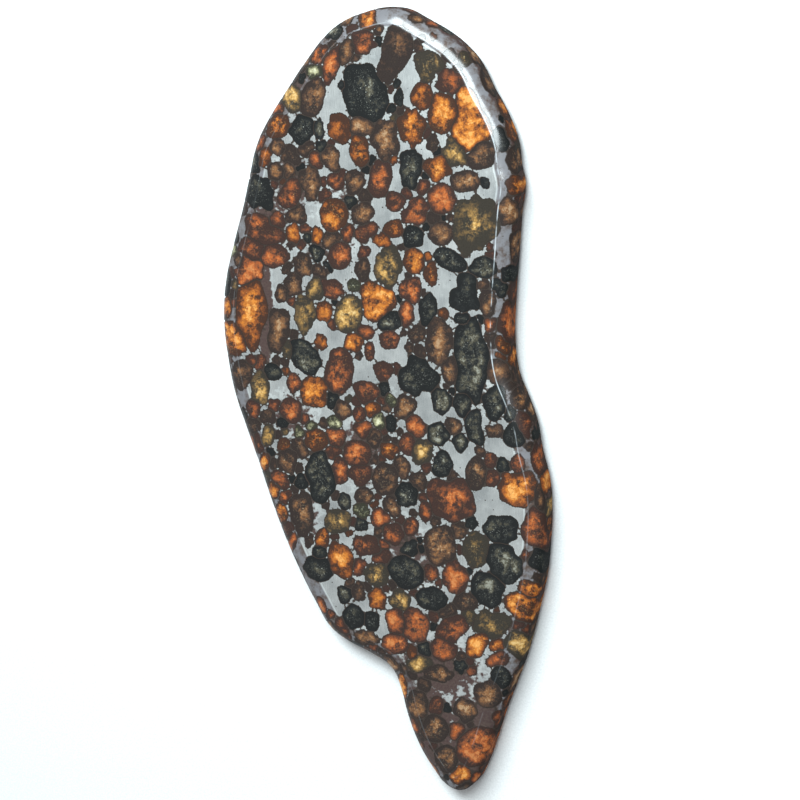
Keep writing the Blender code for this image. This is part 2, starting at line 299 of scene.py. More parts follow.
def evenLoop(loop, step):
    # the same loop through a smooth curve, with points an even step apart
    before, after, beyond = np.roll(loop, 1, 0), np.roll(loop, -1, 0), np.roll(loop, -2, 0)
    fine = []
    for t in np.linspace(0, 1, 8, endpoint=False):
        square = (2 * before - 5 * loop + 4 * after - beyond) * t ** 2
        cube = (3 * loop - before - 3 * after + beyond) * t ** 3
        fine.append(0.5 * (2 * loop + (after - before) * t + square + cube))
    fine = np.stack(fine, 1).reshape(-1, 2)
    closed = np.vstack([fine, fine[:1]])
    along = np.concatenate([[0], np.cumsum(np.linalg.norm(np.diff(closed, axis=0), axis=1))])
    stops = np.linspace(0, along[-1], int(along[-1] / step), endpoint=False)
    return np.stack([np.interp(stops, along, closed[:, k]) for k in (0, 1)], 1)


def outwardNormals(loop):
    run = np.roll(loop, -1, 0) - np.roll(loop, 1, 0)
    normals = np.stack([run[:, 1], -run[:, 0]], 1)
    return normals / np.linalg.norm(normals, axis=1)[:, None]


def insideLoop(points, loop):
    a, b = loop, np.roll(loop, -1, 0)
    inside = np.zeros(len(points), bool)
    rise = np.where(b[:, 1] == a[:, 1], 1e-12, b[:, 1] - a[:, 1])
    for first in range(0, len(points), pointBlock):
        part = points[first:first + pointBlock]
        x, y = part[:, 0][:, None], part[:, 1][:, None]
        spans = (a[:, 1] > y) != (b[:, 1] > y)
        crossing = (b[:, 0] - a[:, 0]) * (y - a[:, 1]) / rise + a[:, 0]
        inside[first:first + pointBlock] = (spans & (x < crossing)).sum(1) % 2 == 1
    return inside


def nearestOnLoop(points, loop):
    # nearest spot on the loop, its distance, the segment and the share along it
    step = np.roll(loop, -1, 0) - loop
    size = np.maximum((step ** 2).sum(1), 1e-12)
    spots = np.empty((len(points), 2))
    segment = np.empty(len(points), int)
    share = np.empty(len(points))
    for first in range(0, len(points), pointBlock):
        part = points[first:first + pointBlock]
        along = np.clip(((part[:, None] - loop) * step).sum(2) / size, 0, 1)
        foot = loop + along[..., None] * step
        best = ((part[:, None] - foot) ** 2).sum(2).argmin(1)
        rows = np.arange(len(part))
        spots[first:first + pointBlock] = foot[rows, best]
        segment[first:first + pointBlock] = best
        share[first:first + pointBlock] = along[rows, best]
    return spots, np.linalg.norm(points - spots, axis=1), segment, share


# The slab's surface, laid out flat: beyond the crease a place goes down over the bevel and the wall.


def rimSection():
    # distance over the surface from the crease, and there: outwards, height, and the normal's two parts
    start = math.radians(slab["creaseAngle"])
    turns = np.linspace(start, math.pi / 2, 60)
    reach = slab["bevelWidth"] / (1 - math.sin(start))
    out = reach * (np.sin(turns) - math.sin(start))
    wallTop = slab["thickness"] - slab["bevelDepth"]
    high = wallTop + slab["bevelDepth"] * np.cos(turns) / math.cos(start)
    slopeOut = reach * np.cos(turns)
    slopeUp = -slab["bevelDepth"] * np.sin(turns) / math.cos(start)
    size = np.hypot(slopeOut, slopeUp)
    over = np.concatenate([[0], np.cumsum(np.hypot(np.diff(out), np.diff(high)))])
    wall = wallTop - slab["thickness"] / 2
    return {
        "over": np.append(over, over[-1] + wall), "out": np.append(out, out[-1]),
        "high": np.append(high, slab["thickness"] / 2),
        "normalOut": np.append(-slopeUp / size, 1.0), "normalUp": np.append(slopeOut / size, 0.0),
    }


section = rimSection()
crease = evenLoop(creaseLoop(), slab["loopStep"])
creaseNormals = outwardNormals(crease)
rimReach = section["over"][-1]
print("slab: crease of", len(crease), "points, rim", round(rimReach, 2), "mm over the surface")


def layOut(points):
    # where each place of the flat layout is: distance past the crease, foot, direction, smooth direction
    foot, distance, segment, share = nearestOnLoop(points, crease)
    past = np.where(insideLoop(points, crease), -distance, distance)
    away = points - foot
    size = np.linalg.norm(away, axis=1)
    ahead = creaseNormals[(segment + 1) % len(crease)]
    smooth = creaseNormals[segment] * (1 - share[:, None]) + ahead * share[:, None]
    smooth /= np.linalg.norm(smooth, axis=1)[:, None]
    flat = size < 1e-6
    away[~flat] /= size[~flat][:, None]
    away[flat] = smooth[flat]
    return past, foot, away, smooth


def onSurface(points):
    # front-face position and normal of each place
    past, foot, away, smooth = layOut(points)
    over = np.clip(past, 0, rimReach)
    out = np.interp(over, section["over"], section["out"])
    place = np.where((past > 0)[:, None], foot + away * out[:, None], points)
    high = np.where(past > 0, np.interp(over, section["over"], section["high"]), slab["thickness"])
    blend = np.clip(1 + past / slab["creaseRound"], 0, 1)
    blend = blend * blend * (3 - 2 * blend)
    leanOut = np.interp(over, section["over"], section["normalOut"]) * blend
    leanUp = np.interp(over, section["over"], section["normalUp"]) * blend + (1 - blend)
    normal = np.column_stack([smooth * leanOut[:, None], leanUp])
    normal /= np.linalg.norm(normal, axis=1)[:, None]
    return np.column_stack([place, high]), normal, past, away


def cameraAxes():
    lean = [math.tan(math.radians(cameraView[k])) for k in ("leanX", "leanY")]
    back = Vector((lean[0], lean[1], 1)).normalized()
    right = Vector((0, 1, 0)).cross(back).normalized()
    return right, back.cross(right), back


def cameraPlace():
    return Vector(cameraView["target"]) + cameraAxes()[2] * cameraView["distance"]


def seenAt(points):
    # where the camera sees each place of the layout, on the face's plane
    place = onSurface(points)[0]
    eye = np.array(cameraPlace())
    rate = (slab["thickness"] - eye[2]) / (place[:, 2] - eye[2])
    return eye[:2] + (place[:, :2] - eye[:2]) * rate[:, None]


def fromSight(seen):
    # the place of the layout that the camera sees at each spot, and whether it sees one there at all
    points = seen.copy()
    found = np.ones(len(seen), bool)
    rimward = np.flatnonzero(layOut(seen)[0] > crystalCut["rimStart"])
    spots = seen[rimward].copy()
    longest = sightSearch["longestStep"]
    furthest = rimReach + sightSearch["beyondRim"]
    for _ in range(sightSearch["rounds"]):
        spots += np.clip(seen[rimward] - seenAt(spots), -longest, longest)
        past, foot, away, _smooth = layOut(spots)
        far = past > furthest
        spots[far] = foot[far] + away[far] * furthest
    points[rimward] = spots
    found[rimward] = np.linalg.norm(seen[rimward] - seenAt(spots), axis=1) < sightSearch["close"]
    return points, found


# The crystals' outlines.


def crystalShape(row, dice):
    x, y, wide, tall, turn, rim, *corner = row
    middleX, middleY = crystalCut["readMiddle"]
    waves = [(k, dice.gauss(0, crystalCut["roughness"] / k ** 0.8), dice.uniform(0, 2 * math.pi))
             for k in (2, 3, 4, 5, 7, 9)]
    waves += [(3, share, math.pi / 2) for share in corner]
    return {
        "centre": np.array([x - middleX, y - middleY]),
        "half": np.array([wide, tall]) / 2 * crystalCut["swell"],
        "turn": math.radians(turn), "waves": waves, "square": dice.uniform(1.8, 2.2), "rim": rim,
        "size": (wide + tall) / 4, "tone": dice.random(),
    }


def depthIn(shape, points):
    # how far inside an outline each point is, in mm: negative inside
    c, s = math.cos(shape["turn"]), math.sin(shape["turn"])
    away = points - shape["centre"]
    u = (away[..., 0] * c + away[..., 1] * s) / shape["half"][0]
    v = (-away[..., 0] * s + away[..., 1] * c) / shape["half"][1]
    angle = np.arctan2(v, u)
    reach = 1 + sum(size * np.cos(k * angle + lag) for k, size, lag in shape["waves"])
    power = shape["square"]
    return ((np.abs(u) ** power + np.abs(v) ** power) ** (1 / power) / reach - 1) * shape["size"]


def crystalOutline(shape, neighbours):
    # the outline as rays from the centre, each stopped where a neighbour comes nearer
    corners = int(np.clip(crystalCut["corners"] * (shape["size"] / 2.2) ** 0.6, 14, 56))
    angles = np.linspace(0, 2 * math.pi, corners, endpoint=False)
    rays = np.stack([np.cos(angles), np.sin(angles)], 1)
    steps = np.linspace(0, 1, 41) * max(shape["half"]) * 1.7
    points = shape["centre"] + rays[:, None] * steps[None, :, None]
    own = depthIn(shape, points)
    free = own < 0
    for other in neighbours:
        free &= own < depthIn(other, points) - crystalCut["veinWidth"]
    free[:, 0] = True
    stop = np.where(free.all(1), len(steps) - 1, np.argmin(free, axis=1))
    low, high = steps[stop - 1], steps[stop]
    for _ in range(8):
        half = (low + high) / 2
        spots = shape["centre"] + rays * half[:, None]
        depth = depthIn(shape, spots)
        held = depth < 0
        for other in neighbours:
            held &= depth < depthIn(other, spots) - crystalCut["veinWidth"]
        low, high = np.where(held, half, low), np.where(held, high, half)
    return shape["centre"] + rays * low[:, None]


def nearShapes(shape, shapes):
    near = []
    for other in shapes:
        if other is not shape:
            room = max(shape["half"]) * 1.5 + max(other["half"]) * 1.5
            if np.linalg.norm(other["centre"] - shape["centre"]) < room:
                near.append(other)
    return near


def largeShapes():
    dice = random.Random(crystalCut["seed"])
    shapes = []
    for kind in crystalKinds:
        for row in kind["places"]:
            shapes.append({**crystalShape(row, dice), "kind": kind})
    return shapes


def roundOff(loop, found, size):
    # the part of an outline that is out of sight ends in a round, not far past the part in sight
    if found.all():
        return loop
    past, foot, away, _smooth = layOut(loop)
    if not found.any():
        return None
    middle = foot.mean(0)
    spread = np.linalg.norm(foot - middle, axis=1)
    share = np.clip(spread / max(spread.max(), 1e-6), 0, 1)
    limit = past[found].max() + 1.1 * size * np.sqrt(1 - 0.96 * share ** 2)
    loop = loop.copy()
    cut = ~found & (past > limit)
    loop[cut] = foot[cut] + away[cut] * limit[cut][:, None]
    return loop


def inPool(spot, radius):
    read = spot + np.array(crystalCut["readMiddle"])
    for x, y, wide, tall in metalPools:
        if ((read[0] - x) / (wide / 2 + radius)) ** 2 + ((read[1] - y) / (tall / 2 + radius)) ** 2 < 1:
            return True
    return False


def closeSpots(loop):
    # the outline's points and the middles between them
    return np.vstack([loop, (loop + np.roll(loop, -1, 0)) / 2])


def fillOutline(spot, radius, others, dice):
    # an uneven outline round a spot, each ray stopped just short of what is already there
    corners = sownCrystals["corners"]
    angles = np.linspace(0, 2 * math.pi, corners, endpoint=False)
    rays = np.stack([np.cos(angles), np.sin(angles)], 1)
    reach = np.full(corners, radius)
    for k in (2, 3, 5):
        wave = dice.gauss(0, sownCrystals["unevenness"])
        reach *= 1 + wave * np.cos(k * angles + dice.uniform(0, 2 * math.pi))
    steps = np.arange(*sownCrystals["steps"])
    points = spot + rays[:, None] * steps[None, :, None]
    near = np.vstack([others[np.linalg.norm(others - spot, axis=1) < 4.2], spot + 9.0])
    gap = np.sqrt(((points[:, :, None] - near) ** 2).sum(3)).min(2)
    held = (gap > sownCrystals["clear"]) & (steps < reach[:, None])
    held[:, -1] = False
    stop = steps[np.maximum(np.argmin(held, axis=1) - 1, 0)]
    for _ in range(2):
        stop = np.minimum(stop, (np.roll(stop, 1) + np.roll(stop, -1)) / 2 + sownCrystals["sharpest"])
    return spot + rays * stop[:, None], stop


def sowCrystals(loops):
    # spots thrown at random over the layout, where crystals grow until they meet what is there
    dice = random.Random(sownCrystals["seed"])
    low, high = crease.min(0) - rimReach, crease.max(0) + rimReach
    kinds, shares = zip(*sownCrystals["mix"])
    throws = np.array([(dice.uniform(low[0], high[0]), dice.uniform(low[1], high[1]))
                       for _ in range(sownCrystals["tries"])])
    throws = throws[layOut(throws)[0] < rimReach - 0.2]
    taken = np.zeros(len(throws), bool)
    for loop in loops:
        taken |= insideLoop(throws, loop)
    others = np.vstack([closeSpots(loop) for loop in loops])
    sown = []
    for smallest, largest, room in sownCrystals["rounds"]:
        for pick in np.flatnonzero(~taken):
            spot = throws[pick]
            radius = dice.uniform(smallest, largest)
            if taken[pick] or inPool(spot, radius * sownCrystals["poolRoom"]):
                continue
            if np.linalg.norm(others - spot, axis=1).min() < room:
                continue
            loop, stop = fillOutline(spot, radius, others, dice)
            shape = {"rim": sownCrystals["rim"], "tone": dice.random(), "size": stop.mean()}
            shape["kind"] = dice.choices(kinds, shares)[0]
            sown.append((shape, loop))
            taken |= insideLoop(throws, loop)
            others = np.vstack([others, closeSpots(loop)])
    return sown


def crystalOutlines():
    shapes = largeShapes()
    seen = [crystalOutline(shape, nearShapes(shape, shapes)) for shape in shapes]
    ends = np.cumsum([len(loop) for loop in seen])[:-1]
    points, found = fromSight(np.vstack(seen))
    outlines = []
    for shape, loop, hit in zip(shapes, np.split(points, ends), np.split(found, ends)):
        loop = roundOff(loop, hit, shape["size"])
        if loop is not None and min(np.ptp(loop, axis=0)) > crystalCut["smallest"]:
            outlines.append((shape, loop))
    placed = len(outlines)
    outlines += sowCrystals([loop for _shape, loop in outlines])
    print("crystals:", placed, "placed,", len(outlines) - placed, "sown")
    return outlines


# The cut pattern as triangles over the whole layout.


def borderLoop():
    # the layout's outer border, half way down the wall, at one distance from the crease all round
    points = []
    for a, b, c in zip(np.roll(crease, 1, 0), crease, np.roll(crease, -1, 0)):
        first, last = b - a, c - b
        start = math.atan2(-first[0], first[1])
        turn = math.atan2(first[0] * last[1] - first[1] * last[0], first @ last)
        count = max(1, int(math.degrees(turn) / 5))
        for step in range(count):
            angle = start + turn * (step + 0.5) / count
            points.append(b + rimReach * np.array([math.cos(angle), math.sin(angle)]))
    points = np.array(points)
    return points[nearestOnLoop(points, crease)[1] > rimReach - 0.02]


def innerRing(loop, depth):
    middle = loop.mean(0)
    away = loop - middle
    size = np.linalg.norm(away, axis=1)
    if size.min() < depth * 1.6:
        return np.zeros((0, 2))
    return middle + away * (1 - depth / size)[:, None]


def outlineTree(outlines):
    tree = KDTree(sum(len(loop) for _shape, loop in outlines))
    spots = np.vstack([loop for _shape, loop in outlines])
    for count, (x, y) in enumerate(spots):
        tree.insert((x, y, 0), count)
    tree.balance()
    return tree


def clearPoints(points, tree, room):
    # those that keep off the border, the crease and the outlines
    past = layOut(points)[0]
    keep = (past < rimReach - 0.25) & (np.abs(np.abs(past) - slab["creaseSoft"]) > 0.1)
    return np.array([spot for spot in points[keep] if tree.find((spot[0], spot[1], 0))[2] > room])


def gridPoints(border, tree):
    # even points between the outlines, closer together on the rim where the surface bends
    low, high = border.min(0), border.max(0)
    grids = []
    for step, onRim in ((crystalCut["faceGrid"], False), (crystalCut["rimGrid"], True)):
        rows = []
        for row, y in enumerate(np.arange(low[1], high[1], step * 0.87)):
            xs = np.arange(low[0] + (row % 2) * step / 2, high[0], step)
            rows.append(np.column_stack([xs, np.full(len(xs), y)]))
        grid = np.vstack(rows)
        grids.append(grid[(layOut(grid)[0] > crystalCut["rimStart"]) == onRim])
    return clearPoints(np.vstack(grids), tree, 0.4)


def cutPattern(outlines, tree):
    border = borderLoop()
    points = [border]
    faces = [list(range(len(border)))]
    edges = []
    count = len(border)
    for _shape, loop in outlines:
        faces.append(list(range(count, count + len(loop))))
        points.append(loop)
        count += len(loop)
    for offset in (-slab["creaseSoft"], slab["creaseSoft"]):
        ring = crease + creaseNormals * offset
        edges += [(count + i, count + (i + 1) % len(ring)) for i in range(len(ring))]
        points.append(ring)
        count += len(ring)
    for _shape, loop in outlines:
        points += [innerRing(loop, depth) for depth in crystalCut["innerRings"]]
    around = np.vstack([innerRing(loop, -crystalCut["outerRing"])[::2] for _shape, loop in outlines])
    points.append(clearPoints(around, tree, crystalCut["outerRing"] * 0.75))
    points.append(gridPoints(border, tree))
    flat = [Vector(p) for p in np.vstack(points).tolist()]
    spots, _edges, triangles, _v, _e, inside = delaunay_2d_cdt(flat, edges, faces, 0, 1e-5, True)
    # an owner of -1 is the metal, and one of -2 lies outside the border
    owner = np.array([max(own) - 1 if 0 in own else -2 for own in inside])
    spots = np.array([tuple(p) for p in spots])
    onBorder = nearestOnLoop(spots, border)[1] < 2e-4
    print("cut pattern:", len(spots), "points,", int((owner > -2).sum()), "triangles")
    return spots, np.array(triangles), owner, onBorder


# Closed shells: a front and a back sheet that meet at the border, with walls between them along the cuts.


def drift(points, past):
    # how far the pattern wanders from the front face to the back, in slow waves
    fade = np.clip(-past / crystalCut["driftOver"], 0, 1) ** 2
    x, y = points[:, 0], points[:, 1]
    wander = np.column_stack([np.sin(y / 8.3 + 1.1) + 0.6 * np.sin(x / 6.1),
                              np.cos(x / 7.7) + 0.6 * np.sin(y / 6.9 + 2.0)])
    return crystalCut["backDrift"] * 0.7 * wander * fade[:, None]


def slideAlong(points):
    # places for the back half, slid along the rim so that the wall's two halves don't mirror each other
    past, _foot, _away, smooth = layOut(points)
    fade = np.clip((rimReach - past) / crystalCut["slideOver"], 0, 1)
    fade *= np.clip((past + crystalCut["slideIn"]) / crystalCut["slideIn"], 0, 1)
    wave = 1 + 0.5 * np.sin(points[:, 0] / 5.3 + points[:, 1] / 7.1)
    along = np.column_stack([-smooth[:, 1], smooth[:, 0]])
    return points + along * (crystalCut["rimSlide"] * wave * fade)[:, None]


def openEdges(triangles):
    directed = set()
    for a, b, c in triangles:
        directed.update(((a, b), (b, c), (c, a)))
    return sorted((a, b) for a, b in directed if (b, a) not in directed)


def shellFaces(triangles, cuts, onBorder, count, tuckAt):
    backAt = [i if onBorder[i] else i + count for i in range(count)]
    rear = [[backAt[c], backAt[b], backAt[a]] for a, b, c in triangles]
    walls = []
    for a, b in cuts:
        midA, midB = tuckAt.get(a, a), tuckAt.get(b, b)
        for ring in ((b, a, midA, midB), (midB, midA, backAt[a], backAt[b])):
            ring = list(dict.fromkeys(ring))
            if len(ring) > 2:
                walls.append(ring)
    return triangles, rear, walls


def shellMesh(name, points, triangles, onBorder, fields):
    place, normal, past, away = onSurface(points)
    place[onBorder, 2] = slab["thickness"] / 2
    behind, behindNormal = onSurface(slideAlong(points))[:2]
    behind[onBorder] = place[onBorder]
    flip = np.array([1, 1, -1])
    back = behind * flip + np.array([0, 0, slab["thickness"]])
    back[:, :2] += drift(points, past)
    ramp = np.clip(past / rimReach, 0, 1)
    tuck = (place + back) / 2
    tuck[:, :2] -= away * (slab["wallTuck"] * ramp * ramp * (3 - 2 * ramp))[:, None]
    count = len(points)
    cuts = [(a, b) for a, b in openEdges(triangles) if not (onBorder[a] and onBorder[b])]
    onCut = sorted({i for edge in cuts for i in edge if not onBorder[i]})
    tuckAt = {i: 2 * count + k for k, i in enumerate(onCut)}
    front, rear, walls = shellFaces(triangles, cuts, onBorder, count, tuckAt)
    spots = np.vstack([place, back, tuck[onCut]])
    source = np.concatenate([np.arange(count), np.arange(count), np.array(onCut, int)])
    used = sorted({i for face in front + rear + walls for i in face})
    renumber = dict(zip(used, range(len(used))))
    mesh = bpy.data.meshes.new(name)
    faces = [[renumber[i] for i in face] for face in front + rear + walls]
    mesh.from_pydata((spots[used] * mm).tolist(), [], faces)
    mesh.update()
    loops = [normal[i] for face in front for i in face]
    loops += [behindNormal[i % count] * flip for face in rear for i in face]
    for polygon in list(mesh.polygons)[len(front) + len(rear):]:
        loops += [np.array(polygon.normal)] * len(polygon.vertices)
    mesh.shade_smooth()
    mesh.normals_split_custom_set(np.array(loops).tolist())
    for field, values in {**fields, "past": past}.items():
        attribute = mesh.attributes.new(field, "FLOAT", "POINT")
        attribute.data.foreach_set("value", values[source[used]].astype(np.float32))
    piece = bpy.data.objects.new(name, mesh)
    bpy.context.scene.collection.objects.link(piece)
    print(name + ":", len(front) + len(rear) + 2 * len(walls), "triangles")
    return piece


def hairlineShift(points, triangles, onBorder):
    # each point of a cut moves a hairline towards the inside of its crystal
    shift = np.zeros_like(points)
    for a, b in openEdges(triangles):
        run = points[b] - points[a]
        inward = np.array([-run[1], run[0]]) / max(np.linalg.norm(run), 1e-9)
        shift[a] += inward
        shift[b] += inward
    size = np.linalg.norm(shift, axis=1)
    moved = (size > 1e-6) & ~onBorder
    shift[moved] *= (crystalCut["hairline"] / size[moved])[:, None]
    shift[~moved] = 0
    return points + shift


def crystalPiece(kind, outlines, pattern):
    spots, triangles, owner, onBorder = pattern
    points, faces, border, rimShade, tone, glow = [], [], [], [], [], []
    count = 0
    for number, (shape, loop) in enumerate(outlines):
        if shape["kind"] is not kind:
            continue
        own = triangles[owner == number]
        if not len(own):
            continue
        used, local = np.unique(own, return_inverse=True)
        own = local.reshape(-1, 3).tolist()
        here = spots[used]
        # painted shade darkens each crystal towards its outline, and a painted glow lights a spot near its
        # middle
        depth = nearestOnLoop(here, loop)[1]
        lag = shape["tone"] * 40
        heart = loop.mean(0) + 0.3 * shape["size"] * np.array([math.cos(lag), math.sin(lag)])
        points.append(hairlineShift(here, own, onBorder[used]))
        faces += [[i + count for i in face] for face in own]
        border.append(onBorder[used])
        rimShade.append(np.clip(depth / (shape["rim"] * crystalCut["rimFade"]), 0, 1))
        tone.append(np.full(len(here), shape["tone"]))
        glow.append(np.clip(1 - np.linalg.norm(here - heart, axis=1) / (shape["size"] * 1.1), 0, 1))
        count += len(here)
    fields = {"rimShade": rimShade, "tone": tone, "glow": glow}
    fields = {field: np.concatenate(values) for field, values in fields.items()}
    return shellMesh(kind["name"], np.vstack(points), faces, np.concatenate(border), fields)


def webPiece(pattern, tree):
    spots, triangles, owner, onBorder = pattern
    own = triangles[owner == -1]
    used, local = np.unique(own, return_inverse=True)
    here = spots[used]
    near = np.array([tree.find((x, y, 0))[2] for x, y in here])
    middle = np.array(crystalCut["readMiddle"])
    stainAndShade = np.zeros(len(here))
    for x, y, wide, tall, strength in metalStains:
        away = (here + middle - (x, y)) / (wide / 2, tall / 2)
        stainAndShade = np.maximum(stainAndShade, strength * np.clip(stainFade - np.linalg.norm(away, axis=1), 0, 1))
    # the wall, painted dark as rust and as painted shade
    stainAndShade = np.maximum(stainAndShade, wallRustAndShade["strength"] * np.clip(layOut(here)[0] - wallRustAndShade["from"], 0, 1))
    return shellMesh("nickel_iron_web", here, local.reshape(-1, 3).tolist(), onBorder[used],
                     {"near": near, "stainAndShade": stainAndShade})


# Materials. Lengths in the nodes are in mm.


class Nodes:
    # a short way to write a material's nodes
    def __init__(self, name):
        self.finish = bpy.data.materials.new(name)
        self.finish.use_nodes = True
        self.tree = self.finish.node_tree
        self.shader = self.tree.nodes["Principled BSDF"]
        place = self.make("ShaderNodeTexCoord").outputs["Object"]
        scale = self.make("ShaderNodeVectorMath", operation="SCALE")
        scale.inputs["Scale"].default_value = 1 / mm
        self.join(place, scale.inputs[0])
        self.place = scale.outputs[0]

    def make(self, kind, **settings):
        node = self.tree.nodes.new(kind)
        for key, value in settings.items():
            setattr(node, key, value)
        return node

    def join(self, source, target):
        if isinstance(source, bpy.types.NodeSocket):
            self.tree.links.new(source, target)
        else:
            target.default_value = source

    def field(self, name):
        return self.make("ShaderNodeAttribute", attribute_name=name).outputs["Fac"]

    def math(self, operation, a, b=0.0, clamp=False):
        node = self.make("ShaderNodeMath", operation=operation, use_clamp=clamp)
        self.join(a, node.inputs[0])
        self.join(b, node.inputs[1])
        return node.outputs[0]

    def span(self, value, low, high, start=0.0, end=1.0):
        node = self.make("ShaderNodeMapRange")
        for source, socket in zip((value, low, high, start, end), node.inputs):
            self.join(source, socket)
        return node.outputs[0]

    def moved(self, scale, offset=None):
        node = self.make("ShaderNodeMapping")
        node.inputs["Scale"].default_value = scale
        self.join(self.place, node.inputs["Vector"])
        if offset is not None:
            self.join(offset, node.inputs["Location"])
        return node.outputs[0]

    def noise(self, place, scale, detail=4.0, rough=0.6):
        node = self.make("ShaderNodeTexNoise")
        self.join(place, node.inputs["Vector"])
        node.inputs["Scale"].default_value = scale
        node.inputs["Detail"].default_value = detail
        node.inputs["Roughness"].default_value = rough
        return node.outputs["Fac"]

    def cells(self, place, scale, feature="F1"):
        node = self.make("ShaderNodeTexVoronoi", feature=feature)
        self.join(place, node.inputs["Vector"])
        node.inputs["Scale"].default_value = scale
        return node

    def part(self, colour, which):
        node = self.make("ShaderNodeSeparateColor")
        self.join(colour, node.inputs[0])
        return node.outputs[which]

    def ramp(self, value, stops):
        node = self.make("ShaderNodeValToRGB")
        while len(node.color_ramp.elements) < len(stops):
            node.color_ramp.elements.new(0.5)
        for element, (spot, colour) in zip(node.color_ramp.elements, stops):
            element.position = spot
            element.color = (*colour, 1)
        self.join(value, node.inputs["Fac"])
        return node.outputs["Color"]

    def mix(self, share, a, b):
        node = self.make("ShaderNodeMix", data_type="RGBA", blend_type="MIX")
        self.join(share, node.inputs["Factor"])
        self.join(a if isinstance(a, bpy.types.NodeSocket) else (*a, 1), node.inputs[6])
        self.join(b if isinstance(b, bpy.types.NodeSocket) else (*b, 1), node.inputs[7])
        return node.outputs[2]

    def polish(self, rough):
        # face and bevel are polished and sealed, metal and crystals alike, and the wall is not
        look = crystalFinish
        for socket, value in (("IOR", look["ior"]), ("Specular IOR Level", look["specular"]),
                              ("Coat Roughness", look["coatRoughness"])):
            self.shader.inputs[socket].default_value = value
        past = self.field("past")
        self.join(self.span(past, 1.6, 3.2, look["coat"], 0.0), self.shader.inputs["Coat Weight"])
        rough = self.math("ADD", rough, self.span(past, 2.4, 4.0, 0.0, 0.5))
        self.join(rough, self.shader.inputs["Roughness"])

    def creaseHighlight(self):
        # a painted highlight, a thin pale line along the crease, fainter on the left and low down, broken in
        # places
        line = self.span(self.math("ABSOLUTE", self.field("past")), 0.03, 0.15, 1.0, 0.0)
        line = self.math("MULTIPLY", line, self.span(self.part(self.place, 0), -8.0, 16.0, 0.1, 1.0))
        line = self.math("MULTIPLY", line, self.span(self.part(self.place, 1), -14.0, 6.0, 0.15, 1.0))
        return self.math("MULTIPLY", line, self.span(self.noise(self.place, 0.25, 3), 0.38, 0.56, 0.0, 0.6))

    def bump(self, height, strength, depth):
        node = self.make("ShaderNodeBump")
        node.inputs["Strength"].default_value = strength
        node.inputs["Distance"].default_value = depth * mm
        self.join(height, node.inputs["Height"])
        self.join(node.outputs["Normal"], self.shader.inputs["Normal"])


# The crystals are cloudy: noise makes their patches, warped cells their facets and the cracks between them,
# and small dots and flecks the painted glints inside them. Each crystal is painted darker towards its rim as
# shade, and brighter round a spot near its middle as a painted glow, as if lit through. Sizes are per mm, and
# warp is in mm. A swing is how wide a band of a source's values counts, to each side of its middle, and how
# much brightness that band brings.
crystalFinish = {
    "patch": 0.33, "mottle": 1.0, "grain": 3.6, "crackSize": 0.66, "crackShade": 0.40, "fleck": 3.2,
    "warp": 2.2, "sparkleSize": 1.9, "sparkleShare": 0.62,
    "swings": {"mottle": (0.13, 0.66), "patch": (0.13, 0.66), "grain": (0.18, 0.34), "facet": (0.50, 0.46),
               "tone": (0.50, 0.42)},
    "heart": 0.41, "glow": 0.20, "rimLevel": 0.22, "lightest": 0.35,
    "roughness": 0.26, "ior": 1.42, "specular": 0.12, "coat": 0.72, "coatRoughness": 0.16,
    # the pale colour of the highlight painted along the crease
    "creaseHighlight": (0.60, 0.65, 0.68),
}

# Between close crystals the metal is dark, rust and troilite stain it in places, the wall is painted dark as
# rust and as painted shade, and the bevel is ground dull and soiled in patches. Sizes are per mm, apart from
# the width of the dark edge in mm.
metalFinish = {
    "colour": (0.92, 0.97, 0.95), "shade": (0.58, 0.62, 0.62), "stainAndShade": (0.042, 0.024, 0.023),
    "ground": (0.140, 0.137, 0.146), "soil": (0.062, 0.042, 0.034), "edge": (0.028, 0.020, 0.016),
    "lines": (16, 0.45, 6), "cloud": 0.16, "fine": 2.4, "soiled": 0.33, "blot": 0.8, "pitSize": 1.15,
    "pitShare": 0.72, "edgeWidth": 0.20, "roughness": 0.26,
}


